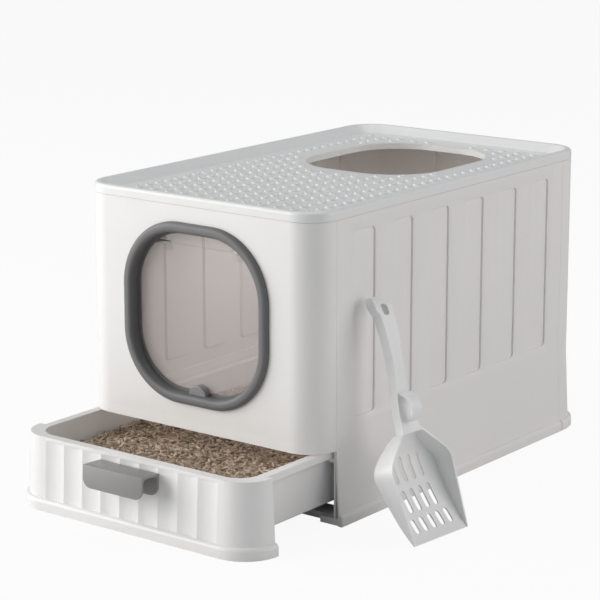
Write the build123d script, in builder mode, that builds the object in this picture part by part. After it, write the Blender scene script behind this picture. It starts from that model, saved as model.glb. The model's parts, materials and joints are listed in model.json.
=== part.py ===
"""Drawer litter box with a flap door, a lift-off lid, a pull-out tray and a scoop.

Millimetres, +Z up. The origin is on the floor below the middle of the housing, X points to
the right as seen from the front, and the front with the door faces -Y. The drawer is shown
partly pulled out.
"""

import os
from math import atan2, cos, radians, sin, sqrt

from build123d import *

os.makedirs("parts", exist_ok=True)

# ---------------------------------------------------------------- driving dimensions
# Housing
body_w = 360.0  # width over the plain walls
body_l = 590.0  # length over the plain walls
total_h = 380.0  # floor to the crest of the lid
wall = 2.5  # moulded wall
gap = 0.3  # between mouldings that only meet
front_r = 38.0  # upright corners at the front
rear_r = 45.0  # upright corners at the rear
front_return = 39.0  # how far the front moulding wraps round its corners
rear_return = 53.0  # how far the rear moulding wraps round its corners
break_z = 105.0  # below this height the walls flare outwards
flare = 4.5  # flare gained between break_z and the top of the foot
foot_h = 15.0
foot_out = 9.5  # foot flange beyond the plain walls
foot_round = 5.0
tongue_l = 20.0  # joint tongues behind the upright seams
tongue_t = 2.3
tongue_play = 4.0  # above and below a tongue

# Raised pads on the walls
pad_w = 40.0
pad_pitch = 78.0
pad_count = 6
pad_under = 20.0  # above the start of the flare
pad_over = 18.0  # below the lid
pad_rise = 3.0
pad_r = 6.0
pad_edge = 1.4
rear_pad_count = 3

# Base frame
base_h = 103.0
base_wall = 2.5
sill_h = 8.0
sill_in = 20.0  # how far the bottom flange reaches inwards
sill_w = 31.0  # front and rear sills
sill_back = 10.0  # front sill behind the front end of the base wall
rail_h = 5.0
rail_run = 2.0  # side play between the rails and the tray

# Drawer
drawer_out = 122.0  # how far the drawer is pulled out here
rim_z = 91.0
panel_bottom = 93.0
tray_wall = 2.5
tray_depth = 69.0
tray_draft = 3.0  # each wall leans in by this much over the depth
tray_corner = 30.0
lip_w = 8.5  # rim that overhangs the tray's side walls
lip_h = 8.7
lip_play = 2.2  # between the rim and the base frame
front_rim = 19.5  # width of the rim behind the front face
rear_play = 7.0  # behind the closed tray
apron_wall = 4.5
rim_round = 3.0
flute_count = 9
flute_pitch = 29.7
flute_depth = 2.0
flute_end = 4.0  # below the rim

# Drawer handle
handle_w = 92.0
handle_h = 27.5
handle_d = 30.0
handle_t = 2.8
handle_r = 12.0
handle_drop = 10.5  # below the rim
boss_r = 4.5
boss_in = 18.0  # bosses in from the ends of the handle
boss_fit = 0.3
washer_out = 0.9  # washer heads beyond the bosses
screw_r = 1.5
screw_head_r = 3.0
screw_head_h = 2.4
screw_bite = 5.0
screw_short = 1.0  # end of a shank before the end of its hole

# Litter
litter_level = 33.0  # depth at the edges
litter_crown = 3.0  # how much higher it lies half way along
litter_ridge = 4.0  # mounds in its surface
litter_ridges_x = 8
litter_ridges_y = 14

# Door
door_w = 196.0  # clear tunnel of the door frame
door_r = 72.0
door_margin = 33.0  # wall above and below the tunnel
frame_out = 13.0  # flange of the front frame beyond the tunnel
frame_rise = 7.0  # crest in front of the wall
frame_roll = 5.6
tunnel_roll = 5.1
barrel_t = 3.0
barrel_fit = 0.4
lip_in = 3.0  # stop lip inside the tunnel
lip_t = 2.5
lip_back = 10.5  # rear face of the stop lip behind the front face of the wall
recess_out = 5.5  # clear ring in which the flap hangs
recess_d = 8.5
rear_out = 17.0  # outside of the rear ring beyond the tunnel
door_screw_out = 10.0
door_screw_turn = 60.0  # degrees round each corner, from level
door_screw_sink = 5.0
flap_out = 1.0
flap_t = 1.6
flap_play = 0.6
flap_over = 1.0  # top edge of the sheet above the pivots
pivot_drop = 18.0  # pivots below the top of the tunnel
pivot_r = 2.0
pivot_fit = 0.05
pivot_back = 15.0  # pivot axis behind the front face of the wall
pivot_in = 50.0  # inner end of a knuckle from the middle
knuckle_l = 11.0
knuckle_r = 3.4
pivot_bite = 5.0
pivot_end = 0.5
stop_r = 13.5
stop_h = 12.0
stop_front = 0.5  # front of the stop tab, behind the front face of the wall
stop_round = 1.5

# Lid
lid_t = 2.0
lid_round = 4.0
crest_w = 8.0  # outside of the lid to the start of its inner slope
slope_w = 12.0
sink_d = 10.0  # crest down to the drain field
skirt_h = 14.0
skirt_t = 2.2
entry_w = 198.0
entry_l = 233.0
entry_r = 75.0
entry_back = 61.0  # entry hole in front of the rear edge
entry_lip = 6.0
drain_w = 5.4
drain_l = 4.8
drain_pitch_x = 24.0
drain_pitch_y = 18.1
drain_columns = 12
drain_rows = 28
drain_margin = 8.4  # plain band round the entry hole

# Scoop
scoop_lean = 23.0  # degrees from upright
scoop_yaw = 5.0
scoop_rest = 0.3
scoop_play = 0.5  # between the end of the grip and the pad that it leans on
scoop_t = 2.2
bowl_tip_w = 98.0
bowl_w = 111.0
bowl_l = 128.0
bowl_d = 27.0
bowl_round = 12.0
rim_up = 5.5
neck_w = 38.0
grip_w = 18.0
grip_end_w = 23.0
scoop_l = 290.0
slot_w = 7.5
slot_pitch = 15.0
tip_t = 1.5
grip_t = 12.5
hang_back = 18.0  # hanging hole, from the end of the grip
hang_w = 10.0
hang_l = 14.0
clip_up = 44.0  # root of the clip tongue above the bowl
clip_l = 34.0
clip_h = 22.0
clip_w = 16.0
clip_t = 3.0

# ---------------------------------------------------------------- derived places
front_y = -body_l / 2
rear_y = body_l / 2
front_seam = front_y + front_return
rear_seam = rear_y - rear_return
lid_z = total_h - sink_d - lid_t
wall_top = lid_z - gap
field_z = total_h - sink_d
handle_top = rim_z - handle_drop
boss_x = handle_w / 2 - boss_in
door_z = (break_z + lid_z) / 2
door_h = lid_z - break_z - 2 * door_margin
pivot_z = door_z + door_h / 2 - pivot_drop
entry_y = rear_y - entry_back - entry_l / 2
big = 2 * (body_l + total_h)


def flare_at(z):
    """How far the wall stands outside its plain face at height z."""
    return flare * (break_z - z) / (break_z - foot_h) if z < break_z else 0.0


def plan(inset, z):
    """Outline of the housing at height z, drawn in by inset, or out where it is negative."""
    with BuildSketch(Plane.XY.offset(z)) as outline:
        Rectangle(body_w - 2 * inset, body_l - 2 * inset)
        fillet(outline.vertices().group_by(Axis.Y)[0], front_r - inset)
        fillet(outline.vertices().group_by(Axis.Y)[-1], rear_r - inset)
    return outline.sketch


def plan_ring(outer, inner, z):
    """Band between two outlines of the housing at height z."""
    return plan(outer, z) - plan(inner, z)


def casing_form(inset, bottom, top):
    """The housing as a solid block between two heights, with its flared lower walls."""
    with BuildPart() as form:
        extrude(plan(inset, break_z), amount=top - break_z)
        loft([plan(inset - flare_at(bottom), bottom), plan(inset, break_z)], ruled=True)
    return form.part


def casing_shell(thickness):
    """Walls of the housing with the foot flange, before they are cut into mouldings."""
    with BuildPart() as shell:
        extrude(plan(-foot_out, 0), amount=foot_h)
        fillet(shell.faces().sort_by(Axis.Z)[-1].edges(), foot_round)
        add(casing_form(0, 0, wall_top))
        add(casing_form(thickness, -foot_h, wall_top + foot_h), mode=Mode.SUBTRACT)
    return shell.part


def door_outline(out, y):
    """Rounded outline of the door tunnel on the plane at y, grown by out."""
    with BuildSketch(Plane.XZ.offset(-y)) as outline:
        with Locations((0, door_z)):
            RectangleRounded(door_w + 2 * out, door_h + 2 * out, door_r + out)
    return outline.sketch


def door_screw_places():
    """Four points round the door's corners, out from the tunnel."""
    arm = door_r + door_screw_out
    across = door_w / 2 - door_r + arm * cos(radians(door_screw_turn))
    up = door_h / 2 - door_r + arm * sin(radians(door_screw_turn))
    return [(sx * across, door_z + sz * up) for sx in (-1, 1) for sz in (-1, 1)]


shell = casing_shell(wall)

# ---------------------------------------------------------------- side panels
pad_bottom = break_z + pad_under
pad_top = lid_z - pad_over
pad_mid_z = (pad_bottom + pad_top) / 2
pad_len = pad_top - pad_bottom
pad_mid_y = (front_seam + rear_seam) / 2
pad_first_y = pad_mid_y - (pad_count - 1) / 2 * pad_pitch
pad_places = [(pad_first_y + i * pad_pitch, pad_mid_z) for i in range(pad_count)]

with BuildPart() as right_side_panel:
    add(shell)
    with Locations(((body_w / 2, (front_seam + rear_seam) / 2, total_h / 2))):
        Box(body_w / 2, rear_seam - front_seam, 2 * total_h, mode=Mode.INTERSECT)
    with BuildSketch(Plane.YZ.offset(body_w / 2 - wall / 2)) as raised_pads:
        with Locations(*pad_places):
            RectangleRounded(pad_w, pad_len, pad_r)
    extrude(amount=pad_rise + wall / 2)
    pad_faces = right_side_panel.faces().filter_by(Axis.X).group_by(Axis.X)[-1]
    chamfer(pad_faces.edges(), pad_edge)
    with BuildSketch(Plane.YZ.offset(body_w / 2 - 2 * wall)) as pad_hollows:
        with Locations(*pad_places):
            RectangleRounded(pad_w - 2 * wall, pad_len - 2 * wall, pad_r - wall)
    extrude(amount=pad_rise + wall, mode=Mode.SUBTRACT)
right_side_panel.part.label = "right_side_panel"
export_step(right_side_panel.part, "parts/right_side_panel.step")

with BuildPart() as left_side_panel:
    add(mirror(right_side_panel.part, about=Plane.YZ, mode=Mode.PRIVATE))
left_side_panel.part.label = "left_side_panel"
export_step(left_side_panel.part, "parts/left_side_panel.step")


# ---------------------------------------------------------------- front and rear panels
def tongues(seam, toward):
    """Strips that reach behind the side panels from the end moulding on one side of a seam."""
    low = base_h + tongue_play
    high = lid_z - skirt_h - tongue_play
    middle_z = (low + high) / 2
    face_x = body_w / 2 - wall - gap
    root_x = body_w / 2 - wall / 2
    with BuildPart() as strips:
        with Locations((face_x - tongue_t / 2, seam, middle_z)):
            Box(tongue_t, tongue_l, high - low)
        with Locations(((face_x - tongue_t + root_x) / 2, seam + toward * tongue_l / 4, middle_z)):
            Box(root_x - face_x + tongue_t, tongue_l / 4, high - low)
        mirror(about=Plane.YZ)
    return strips.part


with BuildPart() as front_panel:
    add(shell)
    with Locations((0, front_seam - gap - body_l / 2, panel_bottom + total_h / 2)):
        Box(2 * body_w, body_l, total_h, mode=Mode.INTERSECT)
    add(tongues(front_seam, -1))
    extrude(door_outline(barrel_t + barrel_fit, front_y - wall), amount=-4 * wall, mode=Mode.SUBTRACT)
    with BuildSketch(Plane.XZ.offset(-(front_y - wall))) as screw_ways:
        with Locations(*door_screw_places()):
            Circle(screw_r + boss_fit)
    extrude(amount=-4 * wall, mode=Mode.SUBTRACT)
front_panel.part.label = "front_panel"
export_step(front_panel.part, "parts/front_panel.step")

rear_pad_places = [
    ((i - (rear_pad_count - 1) / 2) * pad_pitch, pad_mid_z) for i in range(rear_pad_count)
]

with BuildPart() as rear_panel:
    add(shell)
    with Locations((0, rear_seam + gap + body_l / 2, total_h / 2)):
        Box(2 * body_w, body_l, 2 * total_h, mode=Mode.INTERSECT)
    add(tongues(rear_seam, 1))
    with BuildSketch(Plane.XZ.offset(-(rear_y - wall / 2))) as rear_pads:
        with Locations(*rear_pad_places):
            RectangleRounded(pad_w, pad_len, pad_r)
    extrude(amount=-(pad_rise + wall / 2))
    rear_pad_faces = rear_panel.faces().filter_by(Axis.Y).group_by(Axis.Y)[-1]
    chamfer(rear_pad_faces.edges(), pad_edge)
    with BuildSketch(Plane.XZ.offset(-(rear_y - 2 * wall))) as rear_hollows:
        with Locations(*rear_pad_places):
            RectangleRounded(pad_w - 2 * wall, pad_len - 2 * wall, pad_r - wall)
    extrude(amount=-(pad_rise + wall), mode=Mode.SUBTRACT)
rear_panel.part.label = "rear_panel"
export_step(rear_panel.part, "parts/rear_panel.step")

# ---------------------------------------------------------------- base frame
base_out = wall + gap  # outside of the base wall, in from the plain wall
base_in = base_out + base_wall
base_front = front_seam + rail_run
lip_half = body_w / 2 - base_in - lip_play
tray_half = lip_half - lip_w
rail_top = rim_z - lip_h - gap
rail_in = tray_half + rail_run
sill_span = 2 * (body_w / 2 - base_out)

with BuildPart() as base_frame:
    extrude(plan(base_out, 0), amount=base_h)
    extrude(plan(base_out - flare_at(sill_h), 0), amount=sill_h)
    extrude(plan(base_in, sill_h), amount=base_h, mode=Mode.SUBTRACT)
    extrude(plan(base_in + sill_in, 0), amount=sill_h, mode=Mode.SUBTRACT)
    for side in (-1, 1):
        rail_mid = side * (rail_in + body_w / 2 - base_in + base_wall / 2) / 2
        with Locations((rail_mid, (base_front + rear_seam) / 2, rail_top - rail_h / 2)):
            Box(body_w / 2 - base_in + base_wall / 2 - rail_in, rear_seam - base_front, rail_h)
    with Locations((0, base_front - body_l / 2, total_h / 2)):
        Box(2 * body_w, body_l, 2 * total_h, mode=Mode.SUBTRACT)
    with Locations((0, base_front + sill_back + sill_w / 2, sill_h / 2)):
        Box(sill_span, sill_w, sill_h)
base_frame.part.label = "base_frame"
export_step(base_frame.part, "parts/base_frame.step")


# ---------------------------------------------------------------- door frame
frame_back = front_y + lip_back

with BuildPart() as door_frame_front:
    extrude(door_outline(frame_out, front_y), amount=frame_rise)
    crest = door_frame_front.faces().sort_by(Axis.Y)[0]
    fillet(crest.edges(), frame_roll)
    extrude(door_outline(barrel_t, frame_back), amount=lip_back + frame_rise / 2)
    extrude(door_outline(0, frame_back), amount=lip_back + 2 * frame_rise, mode=Mode.SUBTRACT)
    extrude(door_outline(barrel_t / 2, frame_back), amount=lip_t)
    extrude(door_outline(-lip_in, frame_back), amount=lip_back, mode=Mode.SUBTRACT)
    inner_edge = door_frame_front.faces().filter_by(Axis.Y).sort_by(Axis.Y)[0]
    fillet(inner_edge.inner_wires()[0].edges(), tunnel_roll)
    with BuildSketch(Plane.XZ.offset(-front_y)) as pilot_holes:
        with Locations(*door_screw_places()):
            Circle(screw_r)
    extrude(amount=screw_bite - screw_short, mode=Mode.SUBTRACT)
door_frame_front.part.label = "door_frame_front"
export_step(door_frame_front.part, "parts/door_frame_front.step")

ring_front = front_y + wall
recess_front = frame_back + gap
ring_rear = recess_front + recess_d
pivot_y = front_y + pivot_back
recess_r = door_r + recess_out
recess_rise = pivot_z - door_z - (door_h / 2 - door_r)
pivot_mouth = door_w / 2 - door_r + sqrt(recess_r**2 - recess_rise**2)

with BuildPart() as door_frame_rear:
    extrude(door_outline(rear_out, ring_rear), amount=ring_rear - ring_front)
    extrude(door_outline(barrel_t + barrel_fit, ring_rear), amount=big, mode=Mode.SUBTRACT)
    extrude(door_outline(recess_out, ring_rear), amount=recess_d, mode=Mode.SUBTRACT)
    rear_rim = door_frame_rear.faces().filter_by(Axis.Y).sort_by(Axis.Y)[-1]
    chamfer(rear_rim.outer_wire().edges(), wall / 2)
    with BuildSketch(Plane.XZ.offset(-ring_rear)) as screw_holes:
        with Locations(*door_screw_places()):
            Circle(screw_r + boss_fit)
    extrude(amount=big, mode=Mode.SUBTRACT)
    with BuildSketch(Plane.XZ.offset(-ring_rear)) as screw_sinks:
        with Locations(*door_screw_places()):
            Circle(screw_head_r + boss_fit)
    extrude(amount=door_screw_sink, mode=Mode.SUBTRACT)
    with BuildSketch(Plane.YZ) as pivot_bores:
        with Locations((pivot_y, pivot_z)):
            Circle(pivot_r + pivot_fit)
    extrude(amount=pivot_mouth + pivot_bite + pivot_end, both=True, mode=Mode.SUBTRACT)
door_frame_rear.part.label = "door_frame_rear"
export_step(door_frame_rear.part, "parts/door_frame_rear.step")

head_y = ring_rear - door_screw_sink

with BuildPart() as door_frame_screws:
    with BuildSketch(Plane.XZ.offset(-head_y)) as door_heads:
        with Locations(*door_screw_places()):
            Circle(screw_head_r)
    extrude(amount=-screw_head_h)
    with BuildSketch(Plane.XZ.offset(-head_y)) as door_shanks:
        with Locations(*door_screw_places()):
            Circle(screw_r)
    extrude(amount=head_y - front_y + screw_bite - 2 * screw_short)
door_frame_screws.part.label = "door_frame_screws"
export_step(door_frame_screws.part, "parts/door_frame_screws.step")

tunnel_floor = door_z - door_h / 2
stop_len = lip_back - stop_front

with BuildPart() as door_stop:
    with BuildSketch(Plane.XZ.offset(-frame_back)) as half_disc:
        with Locations((0, tunnel_floor - (stop_r - stop_h))):
            Circle(stop_r)
        with Locations((0, tunnel_floor - stop_r)):
            Rectangle(4 * stop_r, 2 * stop_r, mode=Mode.SUBTRACT)
    extrude(amount=stop_len)
    fillet(door_stop.faces().sort_by(Axis.Y)[0].edges().filter_by(GeomType.CIRCLE), stop_round)
    with Locations((0, frame_back - lip_t / 2, tunnel_floor)):
        Box(4 * stop_r, lip_t + 2 * gap, 2 * (lip_in + gap), mode=Mode.SUBTRACT)
door_stop.part.label = "door_stop"
export_step(door_stop.part, "parts/door_stop.step")

# ---------------------------------------------------------------- flap
flap_front = frame_back + flap_play
flap_back = flap_front + flap_t

with BuildPart() as flap_sheet:
    extrude(door_outline(flap_out, flap_back), amount=flap_t)
    with Locations((0, flap_back, pivot_z + flap_over + door_h)):
        Box(2 * door_w, 4 * lip_back, 2 * door_h, mode=Mode.SUBTRACT)
flap_sheet.part.label = "flap_sheet"
export_step(flap_sheet.part, "parts/flap_sheet.step")

pivot_reach = pivot_mouth + pivot_bite

with BuildPart() as flap_pivots:
    with BuildSketch(Plane.YZ.offset(pivot_in)) as knuckle:
        with Locations((pivot_y, pivot_z)):
            Circle(knuckle_r)
            Rectangle(knuckle_r, 3 * knuckle_r, align=(Align.MIN, Align.MAX))
        with Locations((flap_back, pivot_z)):
            Rectangle(big, big, align=(Align.MAX, Align.CENTER), mode=Mode.SUBTRACT)
    extrude(amount=knuckle_l)
    with BuildSketch(Plane.YZ.offset(pivot_in)) as rod:
        with Locations((pivot_y, pivot_z)):
            Circle(pivot_r)
    extrude(amount=pivot_reach - pivot_in)
    mirror(about=Plane.YZ)
flap_pivots.part.label = "flap_pivots"
export_step(flap_pivots.part, "parts/flap_pivots.step")


# ---------------------------------------------------------------- lid
def lid_form(shrink, bottom):
    """Lid as a solid block: the rim and its inner slope down to the drain field."""
    with BuildPart() as form:
        extrude(plan(shrink, bottom), amount=total_h - shrink - bottom)
        fillet(form.faces().sort_by(Axis.Z)[-1].edges(), lid_round - shrink)
        field = plan(crest_w + slope_w - shrink, field_z - shrink)
        mouth = plan(-shrink, field_z - shrink + sink_d / slope_w * (crest_w + slope_w))
        loft([field, mouth], ruled=True, mode=Mode.SUBTRACT)
    return form.part


def entry_outline(out, z):
    """Outline of the entry hole at height z, grown by out."""
    with BuildSketch(Plane.XY.offset(z)) as outline:
        with Locations((0, entry_y)):
            RectangleRounded(entry_w + 2 * out, entry_l + 2 * out, entry_r + out)
    return outline.sketch


skirt_in = wall + gap


def drain_places():
    """Middle of each drain hole: a grid that leaves out the entry hole and a band round it."""
    across = entry_w / 2 - entry_r
    along = entry_l / 2 - entry_r
    places = []
    for i in range(drain_columns):
        for j in range(drain_rows):
            x = (i - (drain_columns - 1) / 2) * drain_pitch_x
            y = (j - (drain_rows - 1) / 2) * drain_pitch_y
            past_x = max(abs(x) - across, 0)
            past_y = max(abs(y - entry_y) - along, 0)
            if sqrt(past_x**2 + past_y**2) > entry_r + drain_margin + drain_w / 2:
                places.append((x, y))
    return places


with BuildPart() as lid:
    add(lid_form(0, lid_z))
    add(lid_form(lid_t, lid_z - skirt_h), mode=Mode.SUBTRACT)
    skirt = plan_ring(skirt_in, skirt_in + skirt_t, lid_z - skirt_h)
    extrude(skirt, amount=skirt_h + sink_d + lid_t / 2)
    extrude(entry_outline(lid_t, field_z - lid_t - entry_lip), amount=entry_lip + lid_t)
    extrude(entry_outline(0, field_z - big), amount=2 * big, mode=Mode.SUBTRACT)
    with BuildSketch(Plane.XY.offset(lid_z - lid_t)) as drain_holes:
        with Locations(*drain_places()):
            Rectangle(drain_w, drain_l)
    extrude(amount=3 * lid_t, mode=Mode.SUBTRACT)
lid.part.label = "lid"
export_step(lid.part, "parts/lid.step")

# ---------------------------------------------------------------- drawer
pulled = Location((0, -drawer_out, 0))
tray_front = front_y + front_rim - tray_wall
tray_rear = rear_y - base_in - lip_play - tray_wall - gap
tray_bottom = rim_z - tray_depth
tray_mid = (tray_front + tray_rear) / 2


def apron_plane(z):
    """Plane on the closed drawer's front face at height z, its normal facing outwards."""
    lean = atan2(flare, break_z - foot_h)
    return Plane(
        origin=(0, front_y - flare_at(z), z), x_dir=(1, 0, 0), z_dir=(0, -cos(lean), sin(lean))
    )


handle_plane = apron_plane(handle_top)
boss_places = [(-boss_x, -handle_h / 2), (boss_x, -handle_h / 2)]
boss_end = apron_wall + gap


def apron():
    """Front face of the closed drawer with its flutes and the rim behind it."""
    foot_plane = apron_plane(foot_h)
    flute_r = flute_pitch**2 / (8 * flute_depth) + flute_depth / 2
    with BuildPart() as face:
        add(casing_shell(apron_wall))
        extrude(plan(apron_wall / 2, rim_z - tray_wall), amount=tray_wall)
        with Locations((0, front_seam - gap - body_l / 2, rim_z - total_h / 2)):
            Box(2 * body_w, body_l, total_h, mode=Mode.INTERSECT)
        with BuildSketch(
            Plane(origin=foot_plane.origin, x_dir=(-1, 0, 0), z_dir=foot_plane.y_dir)
        ) as flutes:
            with Locations((0, flute_r - flute_depth)):
                with GridLocations(flute_pitch, 1, flute_count, 1):
                    Circle(flute_r)
            with Locations((0, -flute_depth - 1)):
                Rectangle(
                    flute_count * flute_pitch,
                    2 * flute_depth + foot_out,
                    align=(Align.CENTER, Align.MIN),
                    mode=Mode.INTERSECT,
                )
        extrude(amount=rim_z - flute_end - foot_h, mode=Mode.SUBTRACT)
        with BuildSketch(handle_plane) as boss_holes:
            with Locations(*boss_places):
                Circle(boss_r + boss_fit)
        extrude(amount=-2 * apron_wall, mode=Mode.SUBTRACT)
    return face.part


def tray_rim():
    """Flat rim of the closed tray with the lip that hangs from its edge."""
    lip_out = base_in + lip_play
    with BuildPart() as rim:
        extrude(plan_ring(lip_out, lip_out + tray_wall, rim_z - lip_h), amount=lip_h)
        with Locations((0, front_seam - front_rim / 2 - body_l / 2, rim_z)):
            Box(2 * body_w, body_l, total_h, mode=Mode.SUBTRACT)
        extrude(plan(lip_out, rim_z - tray_wall), amount=tray_wall)
    return rim.part


def tray_plan(inset, z):
    """Outline of the closed tray at height z, drawn in by inset."""
    lean = tray_draft * (rim_z - z) / tray_depth + inset
    with BuildSketch(Plane.XY.offset(z)) as outline:
        with Locations((0, tray_mid)):
            RectangleRounded(
                2 * (tray_half - lean), tray_rear - tray_front - 2 * lean, tray_corner - inset
            )
    return outline.sketch


def tray_form(inset, bottom, top):
    """The closed tray as a solid block between two heights."""
    with BuildPart() as form:
        loft([tray_plan(inset, bottom), tray_plan(inset, top)], ruled=True)
        fillet(form.faces().sort_by(Axis.Z)[0].edges(), rim_round)
    return form.part


with BuildPart() as closed_tray:
    add(apron())
    add(tray_rim())
    add(tray_form(0, tray_bottom, rim_z - tray_wall / 2))
    add(tray_form(tray_wall, tray_bottom + tray_wall, rim_z + tray_wall), mode=Mode.SUBTRACT)

with BuildPart() as drawer_tray:
    add(closed_tray.part.moved(pulled))
drawer_tray.part.label = "drawer_tray"
export_step(drawer_tray.part, "parts/drawer_tray.step")

with BuildPart() as closed_handle:
    with BuildSketch(handle_plane) as handle_outline:
        with Locations((0, -handle_h / 2)):
            Rectangle(handle_w, handle_h)
        fillet(handle_outline.vertices().group_by(Axis.Z)[0], handle_r)
    extrude(amount=handle_d)
    front_edges = closed_handle.faces().sort_by(Axis.Y)[0].edges()
    fillet(front_edges.sort_by(Axis.Z)[-1], handle_t)
    with BuildSketch(handle_plane.offset(handle_t)) as finger_gap:
        with Locations((0, -handle_t)):
            Rectangle(2 * handle_w, 2 * handle_h, align=(Align.CENTER, Align.MAX))
    extrude(amount=handle_d - 2 * handle_t, mode=Mode.SUBTRACT)
    with BuildSketch(handle_plane) as bosses:
        with Locations(*boss_places):
            Circle(boss_r)
    extrude(amount=-boss_end)
    with BuildSketch(handle_plane.offset(-boss_end)) as boss_pilots:
        with Locations(*boss_places):
            Circle(screw_r)
    extrude(amount=screw_bite, mode=Mode.SUBTRACT)

with BuildPart() as drawer_handle:
    add(closed_handle.part.moved(pulled))
drawer_handle.part.label = "drawer_handle"
export_step(drawer_handle.part, "parts/drawer_handle.step")

with BuildPart() as closed_screws:
    with BuildSketch(handle_plane.offset(-boss_end)) as handle_heads:
        with Locations(*boss_places):
            Circle(boss_r + washer_out)
    extrude(amount=-screw_head_h)
    with BuildSketch(handle_plane.offset(-boss_end)) as handle_shanks:
        with Locations(*boss_places):
            Circle(screw_r)
    extrude(amount=screw_bite - screw_short)

with BuildPart() as handle_screws:
    add(closed_screws.part.moved(pulled))
handle_screws.part.label = "handle_screws"
export_step(handle_screws.part, "parts/handle_screws.step")

litter_in = tray_wall + gap
litter_floor = tray_bottom + tray_wall + gap
litter_top = litter_floor + litter_level
litter_peak = litter_top + litter_crown + litter_ridge


def litter_wave(middle, half, ridges):
    """Outline of the litter seen from one side: uneven ridges, highest half way along."""
    points = []
    for k in range(-ridges, ridges + 1):
        level = litter_top + litter_crown * (1 - (k / ridges) ** 2)
        if k % 2:
            level += litter_ridge * (0.8 + 0.2 * sin(2.4 * k))
        points.append((middle + half * k / ridges, level))
    with BuildLine() as outline:
        Polyline(*points, (middle + half, 0), (middle - half, 0), close=True)
    return outline.line


with BuildPart() as closed_litter:
    add(tray_form(litter_in, litter_floor, litter_peak))
    with BuildSketch(Plane.XZ) as across_waves:
        add(litter_wave(0, tray_half, litter_ridges_x))
        make_face()
    extrude(amount=big, both=True, mode=Mode.INTERSECT)
    with BuildSketch(Plane.YZ) as along_waves:
        add(litter_wave(tray_mid, (tray_rear - tray_front) / 2, litter_ridges_y))
        make_face()
    extrude(amount=big, both=True, mode=Mode.INTERSECT)

with BuildPart() as litter_bed:
    add(closed_litter.part.moved(pulled))
litter_bed.part.label = "litter_bed"
export_step(litter_bed.part, "parts/litter_bed.step")

# ---------------------------------------------------------------- scoop
# Drawn flat, the tip on X and the length along Y, then leant against the housing.
lean_a = radians(scoop_lean)
yaw_a = radians(scoop_yaw)
scoop_reach = scoop_l * sin(lean_a) + grip_t / 4 * cos(lean_a)
scoop_tip_x = body_w / 2 + pad_rise + scoop_play + scoop_reach * cos(yaw_a)
scoop_tip_y = pad_first_y - scoop_l * sin(lean_a) * sin(yaw_a)
scoop_plane = Plane(
    origin=(scoop_tip_x, scoop_tip_y, scoop_rest),
    x_dir=(sin(yaw_a), cos(yaw_a), 0),
    z_dir=(cos(lean_a) * cos(yaw_a), -cos(lean_a) * sin(yaw_a), sin(lean_a)),
)
shoulder_y = 0.72 * bowl_l


def bowl_plan(inset, tip):
    """Outline of the bowl seen from above, drawn in by inset."""
    with BuildSketch() as outline:
        with BuildLine():
            Polyline(
                (-bowl_tip_w / 2 + inset, tip),
                (bowl_tip_w / 2 - inset, tip),
                (bowl_w / 2 - inset, shoulder_y),
                (neck_w / 2 - inset, bowl_l - inset),
                (-neck_w / 2 + inset, bowl_l - inset),
                (-bowl_w / 2 + inset, shoulder_y),
                close=True,
            )
        make_face()
        shoulders = outline.vertices().filter_by(lambda v: abs(v.Y - shoulder_y) < 1)
        fillet(shoulders, 2 * bowl_round - inset)
        fillet(outline.vertices().group_by(Axis.Y)[-1], bowl_round - inset)
    return outline.sketch


def bowl_form(inset, tip, rise):
    """The bowl as a solid block: its plan cut to the curve of its floor and rim."""
    with BuildPart() as form:
        extrude(bowl_plan(inset, tip), amount=2 * bowl_d, both=True)
        with BuildSketch(Plane.YZ):
            with BuildLine():
                Spline(
                    (tip, inset - 0.05 * tip),
                    (0.16 * bowl_l, inset - 0.33 * bowl_d),
                    (0.36 * bowl_l, inset - 0.6 * bowl_d),
                    (0.56 * bowl_l, inset - 0.8 * bowl_d),
                    (0.74 * bowl_l - inset / 2, inset - 0.88 * bowl_d),
                    (0.88 * bowl_l - inset, inset - 0.72 * bowl_d),
                    (bowl_l - inset, inset / 2 - 0.25 * bowl_d),
                )
                Polyline(
                    (bowl_l - inset, inset / 2 - 0.25 * bowl_d),
                    (bowl_l - inset, rim_up + rise),
                    (shoulder_y, rim_up + rise),
                    (tip, tip_t + rise),
                    (tip, inset - 0.05 * tip),
                )
            make_face()
        extrude(amount=bowl_w, both=True, mode=Mode.INTERSECT)
    return form.part


grip_start = bowl_l - 0.8 * scoop_t
grip_l = scoop_l - bowl_l
hang_y = scoop_l - hang_back
clip_y = bowl_l + clip_up
slot_rows = [
    (5, 0.16 * bowl_l, 0.14 * bowl_l),
    (4, 0.39 * bowl_l, 0.22 * bowl_l),
    (4, 0.68 * bowl_l, 0.235 * bowl_l),
]
# Share of the grip's length, and the height of its middle there.
grip_curve = [(0.12, -1.0), (0.3, 3.0), (0.55, 10.8), (0.84, 14.5), (0.95, 10.5)]


def grip_edge(rise):
    """Points along the grip, seen from the side, at a height above its middle."""
    return [(bowl_l + share * grip_l, middle + rise) for share, middle in grip_curve]


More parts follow.
